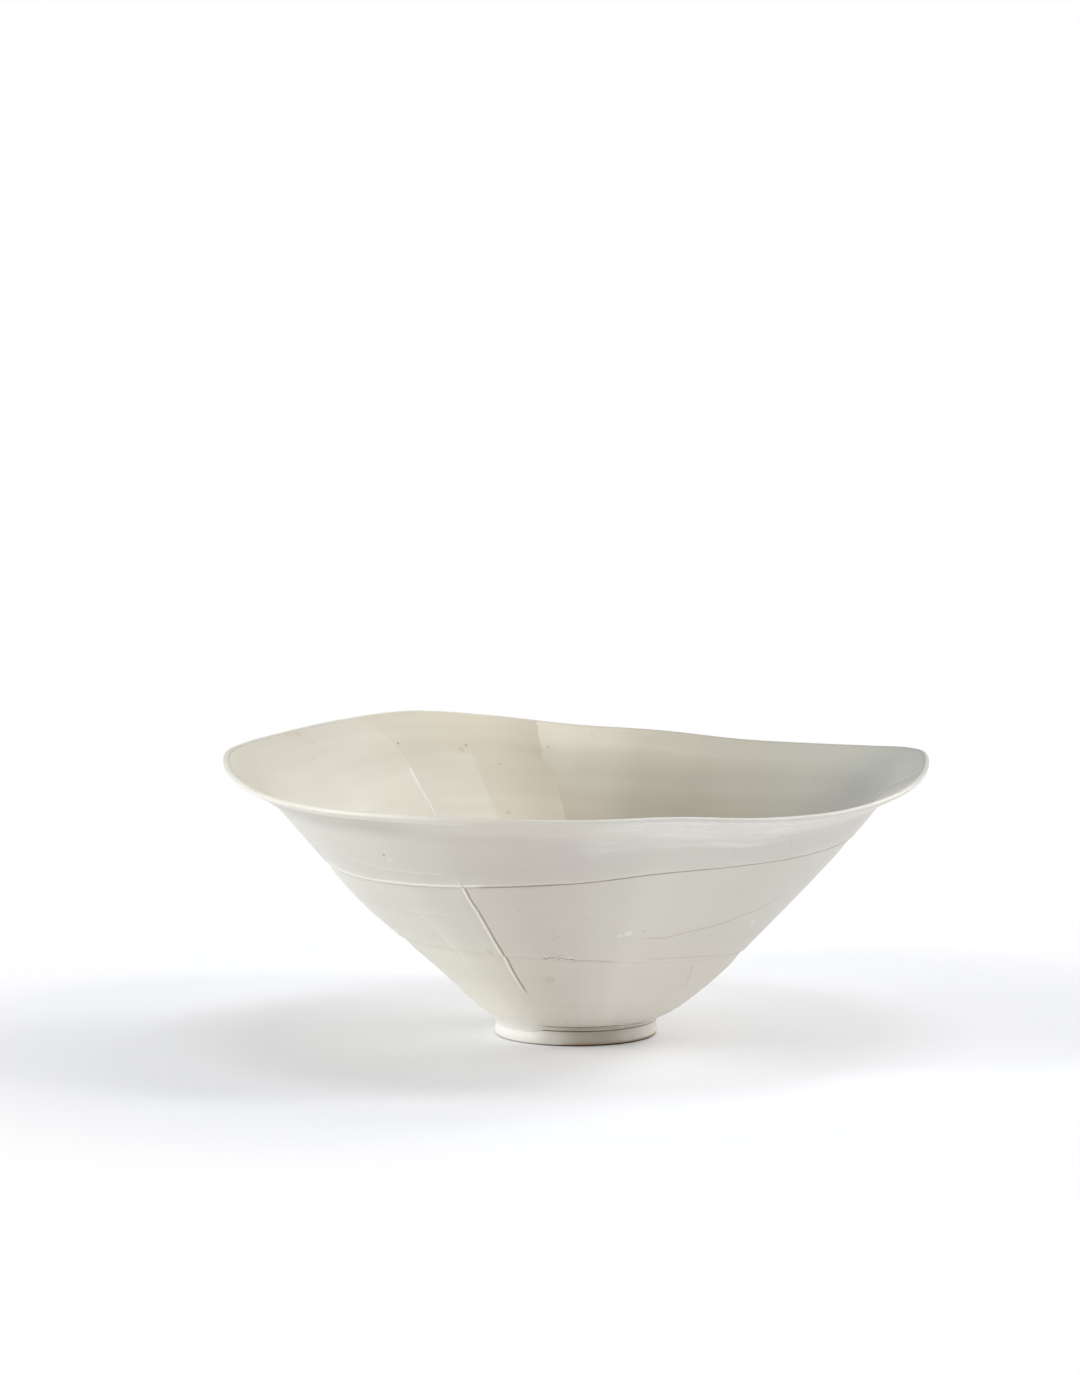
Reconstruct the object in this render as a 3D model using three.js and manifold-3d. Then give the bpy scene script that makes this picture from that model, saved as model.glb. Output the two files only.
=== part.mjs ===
// A wide, thin studio bowl of white porcelain, built up from separately made pieces of clay:
// a thrown cup, two wrapped wall sections lapped over one another, a coiled-on foot ring,
// and thin sheets laid inside. Millimetres, +Z up, origin at the middle of the bowl's outline,
// level with the underside of the foot.
// Azimuth 0 is +X and 90 is +Y; "up" is the distance up the wall's outer face from the foot,
// and "depth" is the distance into the clay, square to that face.

import * as THREE from "three";
import { mergeVertices } from "three/addons/utils/BufferGeometryUtils.js";
import Module from "manifold-3d";

const wasm = await Module();
wasm.setup();

const JOINT_GAP = 0.3; // the line of slip between two pieces of clay
const SEGMENTS = 70; // facets round a full turn
const CURVE_STEPS = 3; // facets along a small rounding
const WELD_DISTANCE = 1e-3;

// The foot ring and the coil of soft clay pressed into its joint.
const FOOT_RADIUS = 36.7;
const FOOT_WIDTH = 6.2;
const FOOT_HEIGHT = 6.6;
const FOOT_EDGE = 0.9; // rounding of the edges that meet the table
const FOOT_BULGE = 0.5;
const BEAD_RADIUS = 0.85;
const BEAD_START = 205; // the coil dies out on the left-hand side
const BEAD_TURN = 225;
const BEAD_STEPS = 40; // facets along the coil
const BEAD_FACETS = 5; // and round each half of it

// The wall's outer face: a quick spread above the foot, a long shallow arc, then a flare to the
// lip. A lead is how far the curve keeps to the arc's line as it leaves it.
const WALL_OVERHANG = 2.9; // the wall starts this far outside the foot ring
const WALL_FOOT_RISE = 0.5; // and this far above the ledge over the coil
const SPREAD_REACH = 10.6;
const SPREAD_RISE = 7.8;
const SPREAD_LEAD = 9.8;
const ARC_BOW = 2.1; // how far the arc swells outside a straight line
const FLARE_LEAD = 5.5;
const FLARE_REACH = 19.2;
const FLARE_RISE = 11.6;
const RIM_RADIUS = 157.8;
const RIM_HEIGHT = 118.4;

// Thicknesses, square to the face.
const FLOOR_THICKNESS = 4.6;
const WELL_RISE = 13; // the inside curves from the wall to the floor below this
const BASE_DOME = 1.2; // hollow turned into the underside
const DOME_STEPS = 2;
const WELL_STEPS = 5;
const FOOT_WALL = 4.6;
const LIP_WALL = 2.5;
const SHEET_THICKNESS = 0.8;

// Each wall section laps over the outside of the one below it with a long scarf.
const SCARF_LENGTH = 12;
const LAP_EDGE = 0.5; // the upper piece's lower edge
const FEATHER_EDGE = 0.5; // the lower piece's upper edge
const LAP_FADE = 11; // the face below swells back out over this distance
const BASE_WALL = 51.6; // up the face, from the foot to the lower seam
const BAND_WIDTH = 48.7; // down the face, from the lip to the upper seam
// A seam wanders up and down the wall by these slides, every 30 degrees of azimuth from 0.
const LOWER_SEAM = {
  up: BASE_WALL,
  slides: [-4.7, -5.9, -5.6, -3.7, -0.8, 2.2, 4.7, 5.9, 5.2, 2.8, -0.6, -3.2],
};
// Height of the lip above or below the mean, every 15 degrees of azimuth from 0.
const RIM_LIFTS = [
  5.4, 3.3, -0.5, -3.4, -4.5, -2.1, 0.1, 5.3, 9.2, 7.7, 5.6, 5.2,
  5.6, 2.0, -1.9, -3.3, -3.2, -2.9, -3.1, -2.5, -4.9, -5.2, -2.6, 1.4,
];
const WARP_START = 55; // height at which the wall begins to follow the lip
const WARP_PULL = 0.2; // a raised length of wall leans in by this share of its lift
const SWELL = { amount: 2.6, towards: 0, height: 27, spread: 20, onset: 6 };

// Thin sheets laid inside, each between two slanting edges given as azimuths.
const SHEET_DROP = 24; // below the middle section's inner edge
const SHEET_LIP_DROP = 2;
const SHEETS = [
  { name: "inner_sheet_left", start: [121.5, 131.7], end: [205, 212] },
  { name: "inner_sheet_middle", start: [86, 97.5], end: [121, 131.2] },
  { name: "inner_sheet_right", start: [-18, -12], end: [85.5, 97] },
];

// The scored line across the lower left of the outside: [azimuth, up], from top to bottom.
const SCORE_POINTS = [
  [244.9, 120],
  [245.5, 100],
  [246, 73],
  [246.6, 47],
  [247.7, 37],
  [250.2, 26],
];
const SCORE_WIDTH = 1.4;
const SCORE_DEPTH = 0.7;
const SCORE_STEPS = 24;

const CUP_SEAT = FOOT_HEIGHT + JOINT_GAP;
const NECK_RADIUS = FOOT_RADIUS - FOOT_EDGE;
const LEDGE_HEIGHT = CUP_SEAT + 2 * BEAD_RADIUS + JOINT_GAP;
const radians = THREE.MathUtils.degToRad;
const { lerp, smoothstep } = THREE.MathUtils;

const wallFoot = new THREE.Vector2(FOOT_RADIUS + WALL_OVERHANG, LEDGE_HEIGHT + WALL_FOOT_RISE);
const arcStart = new THREE.Vector2(SPREAD_REACH, SPREAD_RISE).add(wallFoot);
const rimEdge = new THREE.Vector2(RIM_RADIUS, RIM_HEIGHT);
const arcEnd = rimEdge.clone().sub(new THREE.Vector2(FLARE_REACH, FLARE_RISE));
const chord = arcEnd.clone().sub(arcStart).normalize();
const arcMiddle = arcStart
  .clone()
  .lerp(arcEnd, 1 / 2)
  .addScaledVector(new THREE.Vector2(chord.y, -chord.x), 2 * ARC_BOW);
const arc = new THREE.QuadraticBezierCurve(arcStart, arcMiddle, arcEnd);
const spreadTurn = arcStart.clone().addScaledVector(arc.getTangent(0), -SPREAD_LEAD);
const flareTurn = arcEnd.clone().addScaledVector(arc.getTangent(1), FLARE_LEAD);
const face = new THREE.CurvePath();
face.add(new THREE.QuadraticBezierCurve(wallFoot, spreadTurn, arcStart));
face.add(arc);
face.add(new THREE.QuadraticBezierCurve(arcEnd, flareTurn, rimEdge));
const faceLength = face.getLength();

const BAND_SEAM = {
  up: faceLength - BAND_WIDTH,
  slides: [5.0, 2.5, 0.5, -1.5, -3.5, -7.0, -8.3, -8.6, -7.6, -2.7, 8.1, 7.0],
};

// The rows of facets down the inside of the two upper sections, which the thin sheets share.
const MIDDLE_BOTTOM = LOWER_SEAM.up + SCARF_LENGTH + JOINT_GAP;
const MIDDLE_TOP = BAND_SEAM.up + SCARF_LENGTH;
const BASE_STEPS = 4;
const MIDDLE_STEPS = 5;
const SHEET_BOTTOM = MIDDLE_BOTTOM - SHEET_DROP;
const BAND_BOTTOM = MIDDLE_TOP + JOINT_GAP;
const BAND_STEPS = 8;
const LAP_STEPS = 3;
const LIP_STEPS = 4;

// The (radius, height) of a point up the wall and into the clay.
function inWall(up, depth) {
  const share = THREE.MathUtils.clamp(up / faceLength, 0, 1);
  const along = face.getTangentAt(share);
  const beyond = up - share * faceLength;
  return face
    .getPointAt(share)
    .addScaledVector(along, beyond)
    .addScaledVector(new THREE.Vector2(-along.y, along.x), depth);
}

function wallThickness(up) {
  return lerp(FOOT_WALL, LIP_WALL, THREE.MathUtils.clamp(up / faceLength, 0, 1));
}

// A smooth closed curve through evenly spaced values, read at an azimuth in degrees.
function around(values, azimuth) {
  const place = (THREE.MathUtils.euclideanModulo(azimuth, 360) / 360) * values.length;
  const i = Math.floor(place);
  const t = place - i;
  const [a, b, c, d] = [-1, 0, 1, 2].map((k) => values[(i + k + values.length) % values.length]);
  return b + 0.5 * t * (c - a + t * (2 * a - 5 * b + 4 * c - d + t * (3 * (b - c) + d - a)));
}

// How far the wall slides along itself at a seam that runs round it on a slant.
function seamSlide(seam, azimuth, height) {
  const { y: seamHeight } = inWall(seam.up, 0);
  const reach = (BAND_SEAM.up - LOWER_SEAM.up) / 2;
  const near = 1 - smoothstep(Math.abs(height - seamHeight), 0, reach);
  return near * around(seam.slides, azimuth);
}

// Moves a point of the true, round bowl to its place on the warped one.
function warp(point) {
  const azimuth = THREE.MathUtils.radToDeg(Math.atan2(point.y, point.x));
  const lift = around(RIM_LIFTS, azimuth) * smoothstep(point.z, WARP_START, RIM_HEIGHT);
  const slide = seamSlide(LOWER_SEAM, azimuth, point.z) + seamSlide(BAND_SEAM, azimuth, point.z);
  const fromSwell = (point.z - SWELL.height) / SWELL.spread;
  const aboveSeat = smoothstep(point.z, LEDGE_HEIGHT, LEDGE_HEIGHT + SWELL.onset);
  const swell =
    SWELL.amount *
    aboveSeat *
    Math.exp(-fromSwell * fromSwell) *
    Math.cos(radians(azimuth - SWELL.towards));
  const outwards = slide * chord.x - WARP_PULL * lift + swell;
  point.x += outwards * Math.cos(radians(azimuth));
  point.y += outwards * Math.sin(radians(azimuth));
  point.z += slide * chord.y + lift;
  return point;
}

// The place of a point given by azimuth, up and depth on the warped bowl.
function onWall(azimuth, up, depth) {
  const { x: radius, y: height } = inWall(up, depth);
  const turn = radians(azimuth);
  return warp(new THREE.Vector3(radius * Math.cos(turn), radius * Math.sin(turn), height));
}

// Joins a geometry along shared vertices and drops the triangles that this folds flat.
function welded(geometry) {
  geometry.deleteAttribute("normal");
  geometry.deleteAttribute("uv");
  const joined = mergeVertices(geometry, WELD_DISTANCE);
  const kept = [];
  for (let i = 0; i < joined.index.count; i += 3) {
    const corners = [0, 1, 2].map((k) => joined.index.getX(i + k));
    if (new Set(corners).size === corners.length) kept.push(...corners);
  }
  return joined.setIndex(kept);
}

// Applies a move to every vertex of a geometry.
function moved(geometry, move) {
  const position = geometry.getAttribute("position");
  const point = new THREE.Vector3();
  for (let i = 0; i < position.count; i++) {
    move(point.fromBufferAttribute(position, i));
    position.setXYZ(i, point.x, point.y, point.z);
  }
  return geometry;
}

// Turns a (radius, height) outline about the Z axis, closing it first if it is a ring's.
function turned(outline) {
  const [first] = outline;
  const closed = first.x > 0 ? [...outline, first] : outline;
  return new THREE.LatheGeometry(closed, SEGMENTS).rotateX(Math.PI / 2);
}

function toSolid(geometry) {
  return new wasm.Manifold(
    new wasm.Mesh({
      numProp: 3,
      vertProperties: geometry.getAttribute("position").array,
      triVerts: new Uint32Array(geometry.index.array),
    }),
  );
}

function toGeometry(solid) {
  const mesh = solid.getMesh();
  return new THREE.BufferGeometry()
    .setAttribute("position", new THREE.BufferAttribute(mesh.vertProperties, 3))
    .setIndex(new THREE.BufferAttribute(mesh.triVerts, 1));
}

function evenly(from, to, steps) {
  return Array.from({ length: steps + 1 }, (_, i) => lerp(from, to, i / steps));
}

// Outline points up the wall, at a depth that may change along the way.
function run(from, to, depthAt, steps) {
  return evenly(from, to, steps).map((up) => inWall(up, depthAt(up)));
}

// The outer face of a section under the lap of the next one up, ending at its feather edge.
function faceUnderLap(from, seam, steps) {
  const recess = LAP_EDGE + JOINT_GAP;
  const featherDepth = wallThickness(seam.up + SCARF_LENGTH) - FEATHER_EDGE;
  const outside = (up) => recess * smoothstep(up, seam.up - LAP_FADE, seam.up);
  return [
    ...run(from, seam.up - LAP_FADE, outside, steps),
    ...run(seam.up - LAP_FADE, seam.up, outside, LAP_STEPS).slice(1),
    inWall(seam.up + SCARF_LENGTH, featherDepth),
  ];
}

// The inner end and scarf of a section that laps over the one below it, from inside to outside.
function lapOver(seam) {
  const top = seam.up + SCARF_LENGTH;
  const featherDepth = wallThickness(top) - FEATHER_EDGE - JOINT_GAP;
  return [
    inWall(top + JOINT_GAP, wallThickness(top)),
    inWall(top + JOINT_GAP, featherDepth),
    inWall(top, featherDepth),
    inWall(seam.up, LAP_EDGE),
  ];
}

function footRing() {
  const inside = FOOT_RADIUS - FOOT_WIDTH;
  const outline = new THREE.Path();
  outline.moveTo(inside + FOOT_EDGE, 0);
  outline.lineTo(FOOT_RADIUS - FOOT_EDGE, 0);
  outline.quadraticCurveTo(FOOT_RADIUS, 0, FOOT_RADIUS, FOOT_EDGE);
  outline.quadraticCurveTo(
    FOOT_RADIUS + FOOT_BULGE,
    FOOT_HEIGHT / 2,
    FOOT_RADIUS,
    FOOT_HEIGHT - FOOT_EDGE,
  );
  outline.lineTo(FOOT_RADIUS - FOOT_EDGE, FOOT_HEIGHT);
  outline.lineTo(inside, FOOT_HEIGHT);
  outline.lineTo(inside, FOOT_EDGE);
  outline.quadraticCurveTo(inside, 0, inside + FOOT_EDGE, 0);
  return welded(turned(outline.getPoints(CURVE_STEPS)));
}

// The coil lies in the groove between the ring's top edge and the ledge under the wall.
function footJointBead() {
  const height = CUP_SEAT + BEAD_RADIUS;
  const radius = NECK_RADIUS + JOINT_GAP + BEAD_RADIUS;
  const start = radians(BEAD_START);
  const end = radians(BEAD_START + BEAD_TURN);
  const line = new THREE.EllipseCurve(0, 0, radius, radius, start, end);
  const path = new THREE.CatmullRomCurve3(
    line.getPoints(BEAD_STEPS).map((p) => new THREE.Vector3(p.x, p.y, height)),
  );
  const section = new THREE.Shape().absarc(0, 0, BEAD_RADIUS, 0, 2 * Math.PI);
  const coil = new THREE.ExtrudeGeometry(section, {
    extrudePath: path,
    steps: BEAD_STEPS,
    curveSegments: BEAD_FACETS,
    bevelEnabled: false,
  });
  return welded(coil);
}

// The floor and the lowest part of the wall, thrown in one piece.
function baseCup() {
  const seatOutside = new THREE.Vector2(NECK_RADIUS, CUP_SEAT);
  const underLedge = new THREE.Vector2(NECK_RADIUS, LEDGE_HEIGHT);
  const seatInside = new THREE.Vector2(FOOT_RADIUS - FOOT_WIDTH, CUP_SEAT);
  const dome = new THREE.QuadraticBezierCurve(
    new THREE.Vector2(0, CUP_SEAT + BASE_DOME),
    new THREE.Vector2(seatInside.x / 2, CUP_SEAT + BASE_DOME),
    seatInside,
  );
  const floorHeight = CUP_SEAT + BASE_DOME + FLOOR_THICKNESS;
  const well = new THREE.CubicBezierCurve(
    inWall(WELL_RISE, wallThickness(WELL_RISE)),
    inWall(WELL_RISE / 3, wallThickness(0)),
    new THREE.Vector2(seatInside.x / 2, floorHeight),
    new THREE.Vector2(0, floorHeight),
  );
  const top = LOWER_SEAM.up + SCARF_LENGTH;
  return [
    ...dome.getPoints(DOME_STEPS),
    seatOutside,
    underLedge,
    ...faceUnderLap(0, LOWER_SEAM, BASE_STEPS - 1),
    ...run(top, WELL_RISE, wallThickness, BASE_STEPS),
    ...well.getPoints(WELL_STEPS).slice(1),
  ];
}

function middleWall() {
  const outside = faceUnderLap(LOWER_SEAM.up, BAND_SEAM, MIDDLE_STEPS - 1);
  const inside = run(MIDDLE_TOP, MIDDLE_BOTTOM, wallThickness, MIDDLE_STEPS);
  return [...outside, ...inside, ...lapOver(LOWER_SEAM).slice(1)];
}

// The topmost section, with the flare and the rounded lip.
function rimBand() {
  const lipRadius = wallThickness(faceLength) / 2;
  const turns = evenly(0, Math.PI, LIP_STEPS).slice(1, -1);
  const lip = turns.map((turn) =>
    inWall(faceLength + lipRadius * Math.sin(turn), lipRadius * (1 - Math.cos(turn))),
  );
  return [
    ...run(BAND_SEAM.up, faceLength, () => 0, BAND_STEPS),
    ...lip,
    ...run(faceLength, BAND_BOTTOM, wallThickness, BAND_STEPS),
    ...lapOver(BAND_SEAM).slice(1),
  ];
}

function wallRing(outline) {
  return welded(moved(turned(outline), warp));
}

// A sheet of clay bent onto the inside of the wall. The block's sides become the slanting edges,
// and its rows fall where the wall's own rows do, so that the two faces stay parallel.
function innerSheet({ start, end }) {
  const rows = [
    SHEET_BOTTOM,
    ...evenly(MIDDLE_BOTTOM, MIDDLE_TOP, MIDDLE_STEPS),
    ...evenly(BAND_BOTTOM, faceLength, BAND_STEPS).slice(1, -1),
    faceLength - SHEET_LIP_DROP,
  ];
  const columns = Math.ceil((end[0] - start[0]) / (360 / SEGMENTS));
  const block = new THREE.BoxGeometry(1, 1, 1, columns, 1, rows.length - 1);
  const bent = moved(block, (p) => {
    const rise = p.z + 0.5;
    const up = rows[Math.round(rise * (rows.length - 1))];
    const azimuth = lerp(lerp(start[0], start[1], rise), lerp(end[0], end[1], rise), p.x + 0.5);
    const depth = wallThickness(up) + JOINT_GAP + SHEET_THICKNESS * (p.y + 0.5);
    p.copy(onWall(azimuth, up, depth));
  });
  return welded(bent);
}

// A long, shallow knife cut, as a lens-shaped cutter drawn along the wall.
function scoreCutter() {
  const path = new THREE.CatmullRomCurve3(
    SCORE_POINTS.map(([azimuth, up]) => onWall(azimuth, up, 0)),
  );
  const section = new THREE.Shape([
    new THREE.Vector2(-SCORE_DEPTH, 0),
    new THREE.Vector2(0, -SCORE_WIDTH / 2),
    new THREE.Vector2(SCORE_DEPTH, 0),
    new THREE.Vector2(0, SCORE_WIDTH / 2),
  ]);
  const cutter = new THREE.ExtrudeGeometry(section, {
    extrudePath: path,
    steps: SCORE_STEPS,
    bevelEnabled: false,
  });
  return toSolid(welded(cutter));
}

const glaze = { color: 0xd9d6cc, roughness: 0.28, metalness: 0 };
const bareClay = { color: 0xe9e4d2, roughness: 0.62, metalness: 0 };
const sheetGlaze = { color: 0xddd5c6, roughness: 0.25, metalness: 0 };

function piece(name, geometry, finish) {
  const flat = geometry.index ? geometry.toNonIndexed() : geometry;
  flat.computeVertexNormals();
  const mesh = new THREE.Mesh(flat, new THREE.MeshStandardMaterial(finish));
  mesh.name = name;
  return mesh;
}

function scored(geometry) {
  return toGeometry(toSolid(geometry).subtract(scoreCutter()));
}

const bowl = new THREE.Group();
bowl.add(piece("foot_ring", footRing(), bareClay));
bowl.add(piece("foot_joint_bead", footJointBead(), bareClay));
bowl.add(piece("base_cup", scored(wallRing(baseCup())), glaze));
bowl.add(piece("middle_wall", scored(wallRing(middleWall())), glaze));
bowl.add(piece("rim_band", scored(wallRing(rimBand())), glaze));
for (const sheet of SHEETS) bowl.add(piece(sheet.name, innerSheet(sheet), sheetGlaze));

// The warped lip isn't quite even, so the bowl is slid until its outline is centred on the axis.
const middle = new THREE.Box3().setFromObject(bowl).getCenter(new THREE.Vector3());
for (const { geometry } of bowl.children) geometry.translate(-middle.x, -middle.y, 0);

export default bowl;
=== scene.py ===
import math
from functools import reduce

import bmesh
import bpy
import numpy as np
from bpy.props import FloatProperty, FloatVectorProperty, IntProperty, PointerProperty
from mathutils import Matrix, Vector


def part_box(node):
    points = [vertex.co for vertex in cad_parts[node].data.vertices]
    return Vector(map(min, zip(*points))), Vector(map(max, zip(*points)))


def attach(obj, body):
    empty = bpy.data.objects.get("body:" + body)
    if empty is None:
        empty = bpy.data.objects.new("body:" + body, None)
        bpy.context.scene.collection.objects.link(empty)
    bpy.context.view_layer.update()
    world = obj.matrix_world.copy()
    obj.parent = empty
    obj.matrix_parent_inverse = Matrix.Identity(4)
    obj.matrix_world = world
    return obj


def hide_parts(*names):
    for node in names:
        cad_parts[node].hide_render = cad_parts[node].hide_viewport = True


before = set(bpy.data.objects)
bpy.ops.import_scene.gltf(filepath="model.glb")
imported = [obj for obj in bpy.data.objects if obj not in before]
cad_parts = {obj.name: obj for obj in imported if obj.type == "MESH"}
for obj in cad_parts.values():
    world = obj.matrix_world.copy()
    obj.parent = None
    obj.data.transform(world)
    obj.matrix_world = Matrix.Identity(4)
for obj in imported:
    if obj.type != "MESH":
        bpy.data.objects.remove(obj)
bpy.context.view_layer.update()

bl_info = {
    "name": "Lapped porcelain bowl",
    "version": (1, 0, 0),
    "blender": (4, 5, 0),
    "location": "3D View > Sidebar > Bowl",
    "description": "Dresses a wide, wavy porcelain bowl and sets it on a pale floor",
    "category": "Add Mesh",
}

MM = 0.001


# sizes and finishes


def length(name, description, default):
    return FloatProperty(name=name, description=description, default=default, unit="LENGTH")


def tint(name, description, default):
    return FloatVectorProperty(name=name, description=description, default=default, subtype="COLOR")


class BowlSizes(bpy.types.PropertyGroup):
    foot_radius: length("Foot radius", "Outside of the foot ring", 36.7 * MM)
    foot_width: length("Foot width", "From the foot ring's outside to its well", 6.2 * MM)
    foot_height: length("Foot height", "Height of the foot ring", 6.6 * MM)
    bead_radius: length("Coil radius", "Radius of the coil in the foot's joint", 0.85 * MM)
    rim_radius: length("Rim radius", "Outer face at the lip, before its waves", 157.6 * MM)
    rim_height: length("Rim height", "Mean height of the outer face at the lip", 118.4 * MM)
    foot_wall: length("Wall at the foot", "Thickness of the wall at its lower end", 4.6 * MM)
    lip_wall: length("Wall at the lip", "Thickness of the wall at the lip", 2.45 * MM)
    lap_step: length("Lap step", "How far the upper clay stands out at a seam", 0.62 * MM)
    columns: IntProperty(
        name="Columns", description="Facets once round the wall", default=860, min=64
    )


class BowlFinish(bpy.types.PropertyGroup):
    glaze: tint("Glaze", "Colour of the glaze on the outside", (0.80, 0.773, 0.705))
    pooled: tint("Pooled glaze", "Where the glaze lies thicker", (0.84, 0.83, 0.78))
    thin: tint("Thin glaze", "Where the glaze lies thin and the clay shows", (0.75, 0.71, 0.64))
    inside: tint("Inside glaze", "Colour of the sheets inside", (0.780, 0.742, 0.645))
    iron: tint("Iron specks", "Specks of iron in the clay", (0.26, 0.15, 0.08))
    toasted: tint("Toasted clay", "Bare clay browned by the fire", (0.42, 0.27, 0.15))
    bare: tint("Bare clay", "Unglazed porcelain of the foot", (0.87, 0.85, 0.80))


# the wall's shape


def smooth(x, low, high):
    t = np.clip((x - low) / (high - low), 0.0, 1.0)
    return t * t * (3.0 - 2.0 * t)


def hump(x, middle, width):
    return np.exp(-(((x - middle) / width) ** 2))


def between(x, start, full, fading, end):
    """0 outside start and end, 1 from full to fading, and smooth on the way."""
    return smooth(x, start, full) * (1 - smooth(x, fading, end))


def turned_to(turn, radius, height):
    return np.stack((radius * np.cos(turn), radius * np.sin(turn), height), -1)


def polar(points):
    """The turn in radians, radius and height of points round an upright axis."""
    x, y, z = points.T
    return np.arctan2(y, x), np.hypot(x, y), z


def bowl_axis():
    """Where the bowl's axis meets the ground, from the CAD's foot ring."""
    low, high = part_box("foot_ring")
    return (low.x + high.x) / 2, (low.y + high.y) / 2, 0.0


def around(values, azimuth):
    """A smooth closed curve through evenly spaced values, read at azimuths in degrees."""
    values = np.asarray(values)
    place = (np.asarray(azimuth) % 360.0) / 360.0 * len(values)
    i = np.floor(place).astype(int)
    t = place - i
    a, b, c, d = (values[(i + k) % len(values)] for k in (-1, 0, 1, 2))
    return b + 0.5 * t * (c - a + t * (2 * a - 5 * b + 4 * c - d + t * (3 * (b - c) + d - a)))


def bent(start, turn, end):
    t = np.linspace(0.0, 1.0, 400)[:, None]
    return (1 - t) ** 2 * start + 2 * t * (1 - t) * turn + t * t * end


def unit(v):
    return v / np.linalg.norm(v)


class Wall:
    """The warped wall. A place on it is an azimuth in degrees, a distance up its outer face from
    the foot, and a depth into the clay."""

    JOINT_GAP = 0.3 * MM
    FOOT_EDGE = 0.9 * MM
    WORN = 0.7 * MM
    OVERHANG = 2.9 * MM
    FOOT_RISE = 0.5 * MM
    SPREAD = np.array((10.6, 7.8)) * MM
    SPREAD_LEAD = 9.8 * MM
    ARC_BOW = 2.1 * MM
    FLARE = np.array((19.2, 11.6)) * MM
    FLARE_LEAD = 5.5 * MM
    BASE_WALL = 51.6 * MM
    BAND_WIDTH = 48.7 * MM
    SCARF = 12.0 * MM
    LAP_FADE = 11.0 * MM
    LOWER_SLIDES = (-4.7, -5.9, -5.6, -3.7, -0.8, 2.2, 4.7, 5.9, 5.2, 2.8, -0.6, -3.2)
    BAND_SLIDES = (6.0, 2.5, 0.5, -1.5, -3.5, -7.0, -8.3, -8.6, -6.9, -0.6, 8.3, 9.6)
    RIM_LIFTS = (
        (5.4, 3.3, -0.5, -3.4, -4.5, -2.1, 0.1, 5.3, 9.2, 7.7, 5.6, 5.2)
        + (5.6, 2.0, -1.9, -3.3, -3.2, -2.9, -3.1, -2.5, -4.9, -5.2, -2.6, 1.4)
    )
    WARP_START = 55.0 * MM
    WARP_PULL = 0.2
    SWELL = 2.6 * MM

    def __init__(self, sizes):
        self.sizes = sizes
        self.seat = sizes.foot_height + self.JOINT_GAP
        self.neck = sizes.foot_radius - self.FOOT_EDGE
        self.ledge = self.seat + 2 * sizes.bead_radius + self.JOINT_GAP
        foot = np.array((sizes.foot_radius + self.OVERHANG, self.ledge + self.FOOT_RISE))
        rim = np.array((sizes.rim_radius, sizes.rim_height))
        start, end = foot + self.SPREAD, rim - self.FLARE
        self.chord = unit(end - start)
        turn = (start + end) / 2 + 2 * self.ARC_BOW * np.array((self.chord[1], -self.chord[0]))
        parts = (
            bent(foot, start - unit(turn - start) * self.SPREAD_LEAD, start),
            bent(start, turn, end)[1:],
            bent(end, end + unit(end - turn) * self.FLARE_LEAD, rim)[1:],
        )
        self.face = np.vstack(parts)
        steps = np.linalg.norm(np.diff(self.face, axis=0), axis=1)
        self.ups = np.concatenate(([0.0], np.cumsum(steps)))
        self.length = self.ups[-1]
        along = np.gradient(self.face, self.ups, axis=0)
        self.along = along / np.linalg.norm(along, axis=1)[:, None]
        self.lower_seam = self.BASE_WALL
        self.band_seam = self.length - self.BAND_WIDTH
        self.axis = np.array(bowl_axis())

    def direction(self, up):
        up = np.clip(up, 0.0, self.length)
        return np.interp(up, self.ups, self.along[:, 0]), np.interp(up, self.ups, self.along[:, 1])

    def at(self, up, depth):
        """The radius and height of a point of the true, round bowl."""
        inside = np.clip(up, 0.0, self.length)
        out, rise = self.direction(up)
        radius = np.interp(inside, self.ups, self.face[:, 0]) + out * (up - inside) - rise * depth
        height = np.interp(inside, self.ups, self.face[:, 1]) + rise * (up - inside) + out * depth
        return radius, height

    def thickness(self, up):
        share = np.clip(up / self.length, 0.0, 1.0)
        return self.sizes.foot_wall + (self.sizes.lip_wall - self.sizes.foot_wall) * share

    def slide(self, seam_up, slides, azimuth, height):
        _, seam_height = self.at(seam_up, 0.0)
        reach = (self.band_seam - self.lower_seam) / 2
        return (1 - smooth(np.abs(height - seam_height), 0.0, reach)) * around(slides, azimuth) * MM

    def warped(self, azimuth, radius, height):
        """Moves a point of the true, round bowl to its place on the warped one."""
        lift = around(self.RIM_LIFTS, azimuth) * MM
        lift = lift * smooth(height, self.WARP_START, self.sizes.rim_height)
        slide = self.slide(self.lower_seam, self.LOWER_SLIDES, azimuth, height)
        slide = slide + self.slide(self.band_seam, self.BAND_SLIDES, azimuth, height)
        turn = np.radians(azimuth)
        swell = self.SWELL * smooth(height, self.ledge, self.ledge + 6 * MM)
        swell = swell * hump(height, 27 * MM, 20 * MM) * np.cos(turn)
        radius = radius + slide * self.chord[0] - self.WARP_PULL * lift + swell
        height = height + slide * self.chord[1] + lift
        return turned_to(turn, radius, height) + self.axis

    def place(self, azimuth, up, depth=0.0):
        """A point given by azimuth, millimetres up and millimetres deep."""
        radius, height = self.at(np.asarray(up) * MM, np.asarray(depth) * MM)
        return self.warped(np.asarray(azimuth, float), radius, height)


# marks in the clay

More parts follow.
